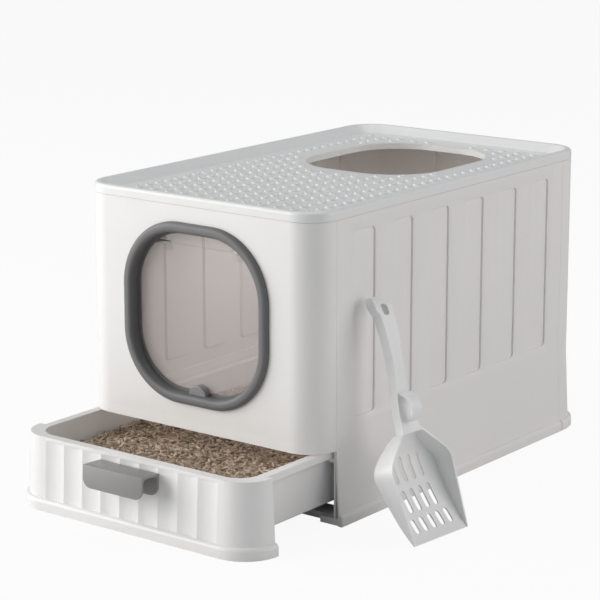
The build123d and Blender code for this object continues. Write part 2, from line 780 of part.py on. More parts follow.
with BuildPart() as grip:
    with BuildSketch(Plane.XY.offset(-bowl_d)):
        with BuildLine():
            grip_side = Spline(
                (neck_w / 2, grip_start),
                (0.58 * grip_end_w, bowl_l + 0.11 * grip_l),
                (0.55 * grip_w, bowl_l + 0.32 * grip_l),
                (grip_w / 2, bowl_l + 0.55 * grip_l),
                (grip_end_w / 2, bowl_l + 0.86 * grip_l),
                tangents=[(-1, 1), (0, 1)],
            )
            ThreePointArc(grip_side @ 1, (0, scoop_l), (-grip_end_w / 2, (grip_side @ 1).Y))
            mirror(grip_side, about=Plane.YZ)
            Line((-neck_w / 2, grip_start), (neck_w / 2, grip_start))
        make_face()
    extrude(amount=3 * bowl_d)
    with BuildSketch(Plane.YZ):
        with BuildLine():
            under = Spline(
                (grip_start, -0.2 * bowl_d), *grip_edge(-grip_t / 2), (scoop_l, -grip_t / 4)
            )
            over = Spline((grip_start, rim_up), *grip_edge(grip_t / 2), (scoop_l + 1, grip_t / 4))
            Line(under @ 0, over @ 0)
            Line(under @ 1, over @ 1)
        make_face()
    extrude(amount=bowl_w, both=True, mode=Mode.INTERSECT)

with BuildPart() as clip:
    with BuildLine(Plane.YZ) as clip_path:
        Spline(
            (clip_y, 0),
            (clip_y - 0.18 * clip_l, 0.85 * clip_h),
            (clip_y - 0.5 * clip_l, clip_h),
            (clip_y - clip_l, 0.5 * clip_h),
        )
    clip_root = Plane(clip_path.line @ 0, x_dir=(1, 0, 0), z_dir=clip_path.line % 0)
    with BuildSketch(clip_root):
        Rectangle(clip_w, clip_t)
    sweep()
    with BuildSketch():
        with Locations((0, clip_y)):
            RectangleRounded(clip_w, 2 * clip_l, 0.45 * clip_w)
    extrude(amount=2 * clip_h, both=True, mode=Mode.INTERSECT)

with BuildPart() as flat_scoop:
    add(bowl_form(0, 0, 0))
    add(bowl_form(scoop_t, -scoop_t, scoop_t), mode=Mode.SUBTRACT)
    add(grip.part)
    add(clip.part)
    for slot_count, slot_y, slot_l in slot_rows:
        with BuildSketch():
            with Locations((0, slot_y)):
                with GridLocations(slot_pitch, 1, slot_count, 1):
                    SlotOverall(slot_l, slot_w, rotation=90)
        extrude(amount=-2 * bowl_d, mode=Mode.SUBTRACT)
    with BuildSketch():
        with Locations((0, hang_y)):
            RectangleRounded(hang_w, hang_l, 0.4 * hang_w)
    extrude(amount=2 * bowl_d, both=True, mode=Mode.SUBTRACT)

with BuildPart() as scoop:
    add(flat_scoop.part.moved(scoop_plane.location))
scoop.part.label = "scoop"
export_step(scoop.part, "parts/scoop.step")
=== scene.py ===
"""Looks of the drawer litter box: finishes, pressed walls, handle, flap, drain rims, litter, light."""

import json
import math
import random

import bpy
from mathutils import Matrix, Vector


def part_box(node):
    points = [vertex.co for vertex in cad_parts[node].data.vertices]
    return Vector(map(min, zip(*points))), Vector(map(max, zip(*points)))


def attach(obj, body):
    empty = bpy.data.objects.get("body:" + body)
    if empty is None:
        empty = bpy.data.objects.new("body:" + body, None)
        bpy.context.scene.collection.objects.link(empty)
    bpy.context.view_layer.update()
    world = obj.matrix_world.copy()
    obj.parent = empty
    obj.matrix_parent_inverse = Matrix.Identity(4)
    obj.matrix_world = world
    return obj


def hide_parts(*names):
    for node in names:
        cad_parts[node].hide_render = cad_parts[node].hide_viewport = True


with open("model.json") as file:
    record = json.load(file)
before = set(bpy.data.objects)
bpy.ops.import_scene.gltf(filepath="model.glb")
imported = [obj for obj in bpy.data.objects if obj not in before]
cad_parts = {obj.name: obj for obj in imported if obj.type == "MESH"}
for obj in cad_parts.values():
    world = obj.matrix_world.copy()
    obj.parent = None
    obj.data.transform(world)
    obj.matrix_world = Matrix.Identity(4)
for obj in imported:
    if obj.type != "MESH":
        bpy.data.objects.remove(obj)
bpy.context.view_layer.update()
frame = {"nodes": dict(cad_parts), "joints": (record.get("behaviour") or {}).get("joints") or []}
nodes = frame["nodes"]
random.seed(20)
bpy.ops.object.select_all(action="DESELECT")

# ---------------------------------------------------------------- sizes, in metres
MM = 0.001

# Walls: upright panels pressed into the plain faces of both sides and of the rear.
WALL_X = 180.0 * MM
REAR_Y = 295.0 * MM
PANEL_W = 42.0 * MM
PANEL_L = 225.0 * MM
PANEL_R = 6.0 * MM
PANEL_Z = 237.5 * MM
PANEL_PITCH = 77.2 * MM
PANEL_DEPTH = 3.0 * MM
PANEL_WALL = 2.5 * MM
PANEL_EDGE = 0.8 * MM
PANEL_SPREAD = 1.6 * MM
FIRST_PANEL_Y = -200.0 * MM
SIDE_COUNT = 6
REAR_COUNT = 3
SIDE_PANELS = [FIRST_PANEL_Y + i * PANEL_PITCH for i in range(SIDE_COUNT)]
REAR_PANELS = [(i - (REAR_COUNT - 1) / 2) * PANEL_PITCH for i in range(REAR_COUNT)]

# Handle: the middle of its top edge against the drawer's face, and its plate.
HANDLE_W = 92.0 * MM
HANDLE_D = 29.8 * MM
HANDLE_H = 27.5 * MM
HANDLE_TOP = Vector((0, -418.2 * MM, 80.5 * MM))
HANDLE_LEAN = 0.05
HANDLE_T = 2.8 * MM
HANDLE_R = 12.0 * MM
HANDLE_EDGE = 0.7 * MM

# Door: the clear strip above the flap, its notches for the pivots, and the flap's pins.
DOOR_W = 194.4 * MM
DOOR_H = 195.4 * MM
DOOR_R = 71.2 * MM
DOOR_Z = 236.5 * MM
SHEET_Y = -283.9 * MM
SHEET_T = 1.6 * MM
HEADER_Z = 318.4 * MM
NOTCH_IN = 49.0 * MM
NOTCH_TOP = 320.9 * MM
PIVOT = Vector(next(joint["pos_m"] for joint in frame["joints"] if joint["name"] == "flap_hinge"))
PIN_INNER = 50.5 * MM
PIN_OUTER = 73.0 * MM
PIN_R = 2.4 * MM
PIN_END_R = 0.6 * MM

# Tray: the band of its front wall, and the way that this wall moves towards the fluted face.
TRAY_HALF = 169.0 * MM
TRAY_FRONT = -401.5 * MM
TRAY_BEND = -360.0 * MM
RIM_SHIFT = 8.5 * MM

# Lid: the grid of its drain holes, the entry hole that the grid leaves out, and the rims.
DRAIN_COLUMNS = 12
DRAIN_ROWS = 28
DRAIN_PITCH_X = 24.0 * MM
DRAIN_PITCH_Y = 18.1 * MM
DRAIN_MARGIN = 11.1 * MM
ENTRY_W = 198.0 * MM
ENTRY_L = 233.0 * MM
ENTRY_R = 75.0 * MM
ENTRY_BACK = 61.0 * MM
SINK_D = 10.0 * MM
RIM_W = 9.4 * MM
RIM_L = 8.4 * MM
RIM_H = 2.0 * MM
RIM_SIDES = 14

# Litter: a bed in ridges, and the pellets that lie on it.
TRAY_CORNER = 26.0 * MM
TRAY_PLAY = 4.2 * MM
LITTER_LEVEL = 33.0 * MM
LITTER_CROWN = 3.0 * MM
LITTER_RIDGE = 4.0 * MM
RIDGES_X = 8
RIDGES_Y = 14
HEAP_CELLS_X = 64
HEAP_CELLS_Y = 110
PELLET_R = 1.65 * MM
PELLET_SIDES = 5
PELLET_LENGTHS = (7.0 * MM, 11.5 * MM)
PELLET_STEP = 4.5 * MM
PELLET_BOUNCE = 0.6 * PELLET_R
TONE_SPREAD = 0.55

# Camera: its place, its three angles and its lens.
CAMERA_PLACE = Vector((1.68105, -2.27992, 0.87477))
CAMERA_YAW = 0.65502
CAMERA_PITCH = 0.23381
CAMERA_ROLL = -0.00109
CAMERA_LENS = 134.84
SENSOR_W = 36

# ---------------------------------------------------------------- materials
# Sockets of a node that mixes two colours.
FIRST_COLOUR = 6
SECOND_COLOUR = 7
MIXED_COLOUR = 2

# Textures, each by the number of its waves in a metre.
CLOUDS = 9.0
SHEEN = 35.0
SPARK_GRAIN = 1400.0
SHEET_HAZE = 26.0
TURNING_MARKS = 900.0
PELLET_FLECKS = 260.0
# Flecks of the dark layer under the pellets, which is painted shade of the gaps between them.
GAP_SHADE_FLECKS = 420.0


def new_material(name):
    """New material with its node tree and its shader."""
    material = bpy.data.materials.new(name)
    material.use_nodes = True
    return material, material.node_tree, material.node_tree.nodes["Principled BSDF"]


def add_noise(tree, scale, detail, roughness=0.5):
    """Noise that is fixed to the object."""
    place = tree.nodes.new("ShaderNodeTexCoord")
    noise = tree.nodes.new("ShaderNodeTexNoise")
    noise.inputs["Scale"].default_value = scale
    noise.inputs["Detail"].default_value = detail
    noise.inputs["Roughness"].default_value = roughness
    tree.links.new(place.outputs["Object"], noise.inputs["Vector"])
    return noise


def add_bump(tree, shader, noise, strength, distance):
    """Fine relief of the surface from a noise."""
    bump = tree.nodes.new("ShaderNodeBump")
    bump.inputs["Strength"].default_value = strength
    bump.inputs["Distance"].default_value = distance
    tree.links.new(noise.outputs["Fac"], bump.inputs["Height"])
    tree.links.new(bump.outputs["Normal"], shader.inputs["Normal"])


def vary_roughness(tree, shader, noise, low, high):
    """Roughness that wanders between two values with a noise."""
    between = tree.nodes.new("ShaderNodeMapRange")
    between.inputs["To Min"].default_value = low
    between.inputs["To Max"].default_value = high
    tree.links.new(noise.outputs["Fac"], between.inputs["Value"])
    tree.links.new(between.outputs["Result"], shader.inputs["Roughness"])


def moulded_plastic(name, colour, roughness, coat=0.0, cloud=0.03):
    """Injection-moulded plastic: faint clouds in its colour and a fine spark-eroded grain."""
    material, tree, shader = new_material(name)
    clouds = add_noise(tree, CLOUDS, detail=3.0)
    tint = tree.nodes.new("ShaderNodeMix")
    tint.data_type = "RGBA"
    tint.inputs[FIRST_COLOUR].default_value = (*[c * (1 - cloud) for c in colour], 1)
    tint.inputs[SECOND_COLOUR].default_value = (*[min(1, c * (1 + cloud)) for c in colour], 1)
    tree.links.new(clouds.outputs["Fac"], tint.inputs["Factor"])
    tree.links.new(tint.outputs[MIXED_COLOUR], shader.inputs["Base Color"])
    grain = add_noise(tree, SPARK_GRAIN, detail=2.0, roughness=0.6)
    add_bump(tree, shader, grain, strength=0.25, distance=0.12 * MM)
    sheen = add_noise(tree, SHEEN, detail=4.0, roughness=0.6)
    vary_roughness(tree, shader, sheen, roughness - 0.05, roughness + 0.06)
    shader.inputs["Coat Weight"].default_value = coat
    shader.inputs["Coat Roughness"].default_value = 0.25
    return material


def clear_plastic(name, colour, alpha):
    """Clear sheet that shows mostly by its edges and its soft gloss."""
    material, tree, shader = new_material(name)
    shader.inputs["Base Color"].default_value = (*colour, 1)
    shader.inputs["Alpha"].default_value = alpha
    haze = add_noise(tree, SHEET_HAZE, detail=3.0, roughness=0.55)
    vary_roughness(tree, shader, haze, 0.08, 0.2)
    return material


def turned_steel(name, colour):
    """Bright screw steel with fine turning marks."""
    material, tree, shader = new_material(name)
    shader.inputs["Base Color"].default_value = (*colour, 1)
    shader.inputs["Metallic"].default_value = 1.0
    marks = add_noise(tree, TURNING_MARKS, detail=2.0)
    vary_roughness(tree, shader, marks, 0.22, 0.42)
    return material


def pressed_wood(name, dark, light, flecks_scale):
    """Pressed wood: a tone for each pellet, flecked and rough."""
    material, tree, shader = new_material(name)
    tone = tree.nodes.new("ShaderNodeAttribute")
    tone.attribute_name = "tone"
    flecks = add_noise(tree, flecks_scale, detail=4.0, roughness=0.7)
    shade = tree.nodes.new("ShaderNodeMath")
    shade.operation = "MULTIPLY_ADD"
    shade.inputs[1].default_value = 0.35
    ramp = tree.nodes.new("ShaderNodeValToRGB")
    darkest, lightest = ramp.color_ramp.elements
    darkest.position = 0.15
    darkest.color = (*dark, 1)
    lightest.position = 1.0
    lightest.color = (*light, 1)
    tree.links.new(flecks.outputs["Fac"], shade.inputs[0])
    tree.links.new(tone.outputs["Fac"], shade.inputs[2])
    tree.links.new(shade.outputs["Value"], ramp.inputs["Fac"])
    tree.links.new(ramp.outputs["Color"], shader.inputs["Base Color"])
    add_bump(tree, shader, flecks, strength=0.6, distance=0.4 * MM)
    shader.inputs["Roughness"].default_value = 0.85
    return material


front_white = moulded_plastic("front_white", (0.86, 0.85, 0.835), 0.36, coat=0.15)
side_white = moulded_plastic("side_white", (0.87, 0.85, 0.835), 0.38, coat=0.05)
lid_white = moulded_plastic("lid_white", (0.84, 0.84, 0.835), 0.32, coat=0.2)
# Drain rims: the lid's plastic painted darker, painted shade that tones down the lit crescents of the
# rims.
rim_shaded_white = moulded_plastic("rim_shaded_white", (0.78, 0.78, 0.775), 0.6)
tray_white = moulded_plastic("tray_white", (0.86, 0.85, 0.84), 0.36, coat=0.1)
trim_grey = moulded_plastic("trim_grey", (0.16, 0.161, 0.164), 0.5, cloud=0.06)
handle_grey = moulded_plastic("handle_grey", (0.285, 0.28, 0.275), 0.46, cloud=0.06)
scoop_grey = moulded_plastic("scoop_grey", (0.87, 0.87, 0.865), 0.36, coat=0.05)
clear_sheet = clear_plastic("clear_sheet", (0.52, 0.48, 0.465), 0.4)
clear_pin = clear_plastic("clear_pin", (0.55, 0.53, 0.52), 0.08)
stop_plastic = clear_plastic("stop_plastic", (0.28, 0.28, 0.28), 0.9)
screw_steel = turned_steel("screw_steel", (0.55, 0.55, 0.56))
pellet_wood = pressed_wood("pellet_wood", (0.29, 0.215, 0.155), (0.89, 0.73, 0.575), PELLET_FLECKS)
# Painted shade: a dark layer that stands for the shaded gaps between the pellets.
pellet_gap_shade = pressed_wood("pellet_gap_shade", (0.09, 0.065, 0.045), (0.22, 0.17, 0.13), GAP_SHADE_FLECKS)

NODE_FINISH = {
    "base_frame": side_white,
    "left_side_panel": side_white,
    "right_side_panel": side_white,
    "front_panel": front_white,
    "rear_panel": side_white,
    "door_frame_front": trim_grey,
    "door_frame_rear": trim_grey,
    "door_frame_screws": screw_steel,
    "door_stop": stop_plastic,
    "flap_sheet": clear_sheet,
    "flap_pivots": clear_pin,
    "lid": lid_white,
    "drawer_tray": tray_white,
    "drawer_handle": handle_grey,
    "handle_screws": screw_steel,
    "scoop": scoop_grey,
}
for node_name, finish in NODE_FINISH.items():
    for slot in nodes[node_name].material_slots:
        slot.material = finish


# ---------------------------------------------------------------- ways of shaping
def block(place, size):
    """Block of a size, its middle at a place."""
    bpy.ops.mesh.primitive_cube_add(size=1, location=place)
    shape = bpy.context.object
    shape.scale = size
    bpy.ops.object.transform_apply(location=True, rotation=True, scale=True)
    return shape


def own_copy(piece, name):
    """Copy of a piece, with its own mesh."""
    copy = bpy.data.objects.new(name, piece.data.copy())
    bpy.context.scene.collection.objects.link(copy)
    return copy


def pick_nothing(kind):
    """Nothing selected on the active shape, and edges or faces as the kind to select."""
    bpy.ops.object.mode_set(mode="EDIT")
    bpy.ops.mesh.select_mode(type=kind)
    bpy.ops.mesh.select_all(action="DESELECT")
    bpy.ops.object.mode_set(mode="OBJECT")


def round_edges(shape, radius, steps, picked):
    """Edges whose two ends pass a test, rounded off."""
    pick_nothing("EDGE")
    for edge in shape.data.edges:
        start, end = (shape.data.vertices[k].co for k in edge.vertices)
        edge.select = picked(start, end)
    bpy.ops.object.mode_set(mode="EDIT")
    bpy.ops.mesh.bevel(offset=radius, segments=steps)
    bpy.ops.object.mode_set(mode="OBJECT")


def work_shape(piece, shapes, operation):
    """Shapes joined to a piece, or cut out of it."""
    bpy.ops.object.select_all(action="DESELECT")
    for shape in shapes:
        shape.select_set(True)
    bpy.context.view_layer.objects.active = shapes[0]
    if len(shapes) > 1:
        bpy.ops.object.join()
    whole = bpy.context.object
    bpy.ops.object.select_all(action="DESELECT")
    bpy.context.view_layer.objects.active = piece
    piece.select_set(True)
    step = piece.modifiers.new("step", "BOOLEAN")
    step.operation = operation
    step.solver = "EXACT"
    step.object = whole
    bpy.ops.object.modifier_apply(modifier="step")
    bpy.data.objects.remove(whole)


def outward_faces():
    """Every face of the shape in edit mode, turned outwards."""
    bpy.ops.mesh.select_all(action="SELECT")
    bpy.ops.mesh.normals_make_consistent(inside=False)


def set_out(name, shape, places, material):
    """One piece made of copies of a small shape, one copy at each place."""
    corners = [vertex.co.copy() for vertex in shape.data.vertices]
    sides = [tuple(face.vertices) for face in shape.data.polygons]
    vertices = [place @ corner for place in places for corner in corners]
    faces = [
        tuple(k * len(corners) + corner for corner in side)
        for k in range(len(places))
        for side in sides
    ]
    mesh = bpy.data.meshes.new(name)
    mesh.from_pydata(vertices, [], faces)
    mesh.materials.append(material)
    piece = bpy.data.objects.new(name, mesh)
    bpy.context.scene.collection.objects.link(piece)
    return piece


# ---------------------------------------------------------------- pressed panels of the walls
def wall_block(axis, inner, outer, middle, width, length):
    """Block across a wall between two depths, over a panel or over a row of panels."""
    place = Vector((middle, middle, PANEL_Z))
    place[axis] = (inner + outer) / 2
    size = Vector((width, width, length))
    size[axis] = abs(outer - inner)
    return block(place, size)


def flared_block(axis, inner, outer, middle, width, length, reach, spread):
    """Block with round corners, its outer face carried further out and widened all round."""
    shape = wall_block(axis, inner, outer, middle, width, length)
    half_depth = abs(outer - inner) / 2
    round_edges(shape, PANEL_R, 5, lambda start, end: abs(start[axis] - end[axis]) > half_depth)
    pick_nothing("FACE")
    for face in shape.data.polygons:
        face.select = abs(face.center[axis] - outer) < 0.01 * MM and abs(face.normal[axis]) > 0.9
    move = [0, 0, 0]
    move[axis] = reach
    grow = [1 + 2 * spread / width, 1 + 2 * spread / width, 1 + 2 * spread / length]
    grow[axis] = 1
    centre = [middle, middle, PANEL_Z]
    centre[axis] = outer + reach
    bpy.ops.object.mode_set(mode="EDIT")
    bpy.ops.mesh.extrude_region_move(TRANSFORM_OT_translate={"value": move})
    bpy.ops.transform.resize(value=grow, center_override=centre)
    bpy.ops.object.mode_set(mode="OBJECT")
    return shape


def row_of(shape, axis, middles):
    """A shape at the first panel of a wall, and its copies at the others."""
    shapes = [shape]
    for middle in middles[1:]:
        move = [middle - middles[0], middle - middles[0], 0]
        move[axis] = 0
        copy = own_copy(shape, shape.name)
        copy.data.transform(Matrix.Translation(move))
        shapes.append(copy)
    return shapes


def sunk_panels(node_name, axis, side, middles):
    """One wall of the housing with its upright panels pressed in, and their backs inside."""
    wall = own_copy(nodes[node_name], node_name + "_sunk")
    bpy.ops.object.select_all(action="DESELECT")
    bpy.context.view_layer.objects.active = wall
    wall.select_set(True)
    bpy.ops.mesh.customdata_custom_splitnormals_clear()
    bpy.ops.object.mode_set(mode="EDIT")
    bpy.ops.mesh.select_all(action="SELECT")
    bpy.ops.mesh.remove_doubles(threshold=0.001 * MM)
    bpy.ops.object.mode_set(mode="OBJECT")

    face = side * (WALL_X if axis == 0 else REAR_Y)
    rim = 2 * PANEL_WALL
    back = face - side * (PANEL_DEPTH + PANEL_WALL)
    back_edge = back + side * PANEL_EDGE
    boss = flared_block(
        axis, back, back_edge, middles[0], PANEL_W + rim, PANEL_L + rim,
        reach=side * (rim + PANEL_EDGE), spread=rim,
    )
    work_shape(wall, row_of(boss, axis, middles), "UNION")

    beyond = face + side * 2 * PANEL_DEPTH
    centre = (middles[0] + middles[-1]) / 2
    row_w = middles[-1] - middles[0] + PANEL_W + 4 * rim
    plane_off = wall_block(axis, face, beyond, centre, row_w, PANEL_L + 4 * rim)
    work_shape(wall, [plane_off], "DIFFERENCE")

    floor_at = face - side * PANEL_DEPTH
    mouth = face - side * PANEL_EDGE
    press = flared_block(
        axis, floor_at, mouth, middles[0], PANEL_W, PANEL_L,
        reach=side * 2 * PANEL_EDGE, spread=2 * PANEL_SPREAD,
    )
    work_shape(wall, row_of(press, axis, middles), "DIFFERENCE")

    bpy.ops.object.shade_smooth_by_angle(angle=math.radians(25))
    wall.data.materials.clear()
    wall.data.materials.append(side_white)
    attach(wall, "housing")
    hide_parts(node_name)


sunk_panels("right_side_panel", 0, 1, SIDE_PANELS)
sunk_panels("left_side_panel", 0, -1, SIDE_PANELS)
sunk_panels("rear_panel", 1, 1, REAR_PANELS)


# ---------------------------------------------------------------- handle, flap and tray
def grip_handle():
    """Handle bent over from one plate: crisp top corners, round lower ones, open under the top."""
    middle = HANDLE_TOP - Vector((0, HANDLE_D / 2, HANDLE_H / 2))
    bottom_z = HANDLE_TOP.z - HANDLE_H
    handle = block(middle, (HANDLE_W, HANDLE_D, HANDLE_H))
    handle.name = "grip_handle"
    round_edges(
        handle, HANDLE_R, 8,
        lambda start, end: abs(start.y - end.y) > HANDLE_R and max(start.z, end.z) < bottom_z + MM,
    )
    hollow = block(
        (0, middle.y, bottom_z - HANDLE_T), (2 * HANDLE_W, HANDLE_D - 2 * HANDLE_T, 2 * HANDLE_H)
    )
    round_edges(
        hollow, 1.5 * HANDLE_T, 6,
        lambda start, end: abs(start.x - end.x) > HANDLE_W and min(start.z, end.z) > bottom_z,
    )
    work_shape(handle, [hollow], "DIFFERENCE")
    soften = handle.modifiers.new("soften", "BEVEL")
    soften.width = HANDLE_EDGE
    soften.segments = 2
    soften.limit_method = "ANGLE"
    soften.angle_limit = math.radians(40)
    bpy.ops.object.modifier_apply(modifier="soften")
    bpy.ops.object.shade_smooth_by_angle(angle=math.radians(35))
    handle.data.transform(
        Matrix.Translation(HANDLE_TOP)
        @ Matrix.Rotation(-HANDLE_LEAN, 4, "X")
        @ Matrix.Translation(-HANDLE_TOP)
    )
    handle.data.materials.append(handle_grey)
    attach(handle, "drawer")
    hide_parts("drawer_handle")


def flap_header():
    """Clear strip that closes the round top of the door above the flap."""
    bpy.ops.mesh.primitive_plane_add(
        size=1, location=(0, SHEET_Y, DOOR_Z), rotation=(math.pi / 2, 0, 0)
    )
    header = bpy.context.object
    header.name = "flap_header"
    header.scale = (DOOR_W, DOOR_H, 1)
    bpy.ops.object.transform_apply(location=True, rotation=True, scale=True)
    bpy.ops.object.mode_set(mode="EDIT")
    bpy.ops.mesh.select_all(action="SELECT")
    bpy.ops.mesh.bevel(offset=DOOR_R, segments=16, affect="VERTICES")
    bpy.ops.mesh.select_all(action="SELECT")
    bpy.ops.mesh.bisect(plane_co=(0, 0, HEADER_Z), plane_no=(0, 0, 1), clear_inner=True)
    bpy.ops.mesh.select_all(action="SELECT")
    bpy.ops.mesh.extrude_region_move(TRANSFORM_OT_translate={"value": (0, SHEET_T, 0)})
    outward_faces()
    bpy.ops.object.mode_set(mode="OBJECT")
    notches = [
        block(
            (side * (NOTCH_IN + DOOR_W / 4), SHEET_Y, NOTCH_TOP - DOOR_R / 2),
            (DOOR_W / 2, 4 * SHEET_T, DOOR_R),
        )
        for side in (-1, 1)
    ]
    work_shape(header, notches, "DIFFERENCE")
    bpy.ops.object.shade_smooth_by_angle(angle=math.radians(35))
    header.data.materials.append(clear_sheet)
    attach(header, "housing")


def flap_pins():
    """Steel pins with rounded ends that carry the flap, one at each side."""
    out = (PIN_INNER + PIN_OUTER) / 2
    bpy.ops.mesh.primitive_cylinder_add(
        vertices=20,
        radius=PIN_R,
        depth=PIN_OUTER - PIN_INNER,
        location=(-out, PIVOT.y, PIVOT.z),
        rotation=(0, math.pi / 2, 0),
    )
    left = bpy.context.object
    left.name = "flap_pin_left"
    bpy.ops.object.transform_apply(location=True, rotation=True, scale=True)
    round_edges(left, PIN_END_R, 3, lambda start, end: abs(start.x - end.x) < 0.1 * MM)
    bpy.ops.object.shade_smooth_by_angle(angle=math.radians(40))
    left.data.materials.append(screw_steel)
    right = own_copy(left, "flap_pin_right")
    right.data.transform(Matrix.Translation((2 * out, 0, 0)))
    for pin in (left, right):
        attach(pin, "door_flap")


def slim_tray():
    """Litter tray whose front wall stands close behind the fluted face, under a narrow rim."""
    tray = own_copy(nodes["drawer_tray"], "slim_tray")
    for vertex in tray.data.vertices:
        if abs(vertex.co.x) < TRAY_HALF and TRAY_FRONT < vertex.co.y < TRAY_BEND:
            vertex.co.y -= RIM_SHIFT
    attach(tray, "drawer")
    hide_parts("drawer_tray")


grip_handle()
flap_header()
flap_pins()
slim_tray()

# ---------------------------------------------------------------- drain rims on the lid
# Section of a rim: share of its half width, and height above the field round the holes.
RIM_SECTION = [
    (0.55, -2.0 * MM),
    (0.56, 0.8 * RIM_H),
    (0.64, RIM_H),
    (0.76, RIM_H),
    (0.88, 0.7 * RIM_H),
    (1.0, -0.1 * MM),
]


def drain_places():
    """Middle of each drain hole, on the same grid as the holes in the lid."""
    lid_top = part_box("lid")[1]
    entry_y = lid_top.y - ENTRY_BACK - ENTRY_L / 2
    places = []
    for i in range(DRAIN_COLUMNS):
        for j in range(DRAIN_ROWS):
            x = (i - (DRAIN_COLUMNS - 1) / 2) * DRAIN_PITCH_X
            y = (j - (DRAIN_ROWS - 1) / 2) * DRAIN_PITCH_Y
            past_x = max(abs(x) - ENTRY_W / 2 + ENTRY_R, 0)
            past_y = max(abs(y - entry_y) - ENTRY_L / 2 + ENTRY_R, 0)
            if math.hypot(past_x, past_y) > ENTRY_R + DRAIN_MARGIN:
                places.append(Matrix.Translation((x, y, lid_top.z - SINK_D)))
    return places


def drain_rim():
    """One oval rim: its inner edge carried up, over the crest and down on the outside."""
    share, height = RIM_SECTION[0]
    bpy.ops.mesh.primitive_circle_add(
        vertices=RIM_SIDES,
        radius=share * RIM_W / 2,
        location=(0, 0, height),
        rotation=(0, 0, math.pi / 2),
    )
    rim = bpy.context.object
    bpy.ops.object.transform_apply(location=True, rotation=True, scale=True)
    bpy.ops.object.mode_set(mode="EDIT")
    bpy.ops.transform.resize(value=(1, RIM_L / RIM_W, 1), center_override=(0, 0, 0))
    for next_share, next_height in RIM_SECTION[1:]:
        grow = next_share / share
        bpy.ops.mesh.extrude_region_move(
            TRANSFORM_OT_translate={"value": (0, 0, next_height - height)}
        )
        bpy.ops.transform.resize(value=(grow, grow, 1), center_override=(0, 0, 0))
        share, height = next_share, next_height
    outward_faces()
    bpy.ops.object.mode_set(mode="OBJECT")
    return rim


def drain_rims():
    """A raised rim round each drain hole."""
    rim = drain_rim()
    rims = set_out("drain_rims", rim, drain_places(), rim_shaded_white)
    bpy.data.objects.remove(rim)
    rims.data.shade_smooth()
    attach(rims, "lid")


drain_rims()

# ---------------------------------------------------------------- litter
bed_low, bed_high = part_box("litter_bed")
bed_mid_y = (bed_low.y + bed_high.y) / 2
bed_half_x = (bed_high.x - bed_low.x) / 2
bed_half_y = (bed_high.y - bed_low.y) / 2
litter_top = bed_low.z + LITTER_LEVEL
heap_mid_y = bed_mid_y - RIM_SHIFT / 2
heap_half_y = bed_half_y + RIM_SHIFT / 2


def ridge_crest(k, ridges):
    """Height of the bed at a whole step from the middle: every other step is a ridge."""
    rise = LITTER_RIDGE * (0.8 + 0.2 * math.sin(2.4 * k)) if k % 2 else 0
    return LITTER_CROWN * (1 - (k / ridges) ** 2) + rise


def ridge_line(share, ridges):
    """Height of the uneven ridges at a share of the way from the middle to a wall."""
    step = math.floor(share * ridges)
    blend = share * ridges - step
    blend = blend * blend * (3 - 2 * blend)
    return ridge_crest(step, ridges) * (1 - blend) + ridge_crest(step + 1, ridges) * blend


def litter_height(x, y):
    """Top of the litter: the lower of the ridges across and along the tray."""
    across = ridge_line(x / (bed_half_x + TRAY_PLAY), RIDGES_X)
    along = ridge_line((y - bed_mid_y) / (bed_half_y + TRAY_PLAY), RIDGES_Y)
    return litter_top + min(across, along)


def corner_reach(x, y, margin):
    """How far a point lies past the middle of a round corner, across, along and in all."""
    past_x = max(abs(x) - bed_half_x + margin + TRAY_CORNER, 0)
    past_y = max(abs(y - heap_mid_y) - heap_half_y + margin + TRAY_CORNER, 0)
    return past_x, past_y, math.hypot(past_x, past_y)


def litter_heap():
    """Dark layer under the pellets, painted shade of the gaps between them: the bed's outline with its
    rolling top.
    """
    bpy.ops.mesh.primitive_grid_add(
        x_subdivisions=HEAP_CELLS_X, y_subdivisions=HEAP_CELLS_Y, size=1, location=(0, heap_mid_y, 0)
    )
    heap = bpy.context.object
    heap.name = "litter_heap"
    heap.scale = (2 * bed_half_x, 2 * heap_half_y, 1)
    bpy.ops.object.transform_apply(location=True, rotation=True, scale=True)
    for vertex in heap.data.vertices:
        x, y = vertex.co.x, vertex.co.y
        past_x, past_y, reach = corner_reach(x, y, 0)
        if reach > TRAY_CORNER:
            pull = TRAY_CORNER / reach
            x = math.copysign(bed_half_x - TRAY_CORNER + past_x * pull, x)
            y = heap_mid_y + math.copysign(heap_half_y - TRAY_CORNER + past_y * pull, y - heap_mid_y)
        vertex.co = (x, y, litter_height(x, y) - PELLET_R)
    bpy.ops.object.mode_set(mode="EDIT")
    bpy.ops.mesh.select_all(action="SELECT")
    bpy.ops.mesh.extrude_region_move()
    bpy.ops.transform.resize(value=(0.98, 0.99, 0), center_override=(0, heap_mid_y, bed_low.z))
    outward_faces()
    bpy.ops.object.mode_set(mode="OBJECT")
    heap.data.shade_smooth()
    heap.data.materials.append(pellet_gap_shade)
    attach(heap, "drawer")
    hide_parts("litter_bed")


def pressed_pellet():
    """One five-sided pellet, a metre long until it is placed."""
    bpy.ops.mesh.primitive_circle_add(
        vertices=PELLET_SIDES,
        radius=PELLET_R,
        fill_type="NGON",
        location=(-0.5, 0, 0),
        rotation=(0, math.pi / 2, 0),
    )
    pellet = bpy.context.object
    bpy.ops.object.transform_apply(location=True, rotation=True, scale=True)
    bpy.ops.object.mode_set(mode="EDIT")
    bpy.ops.mesh.extrude_region_move(TRANSFORM_OT_translate={"value": (1, 0, 0)})
    outward_faces()
    bpy.ops.object.mode_set(mode="OBJECT")
    return pellet


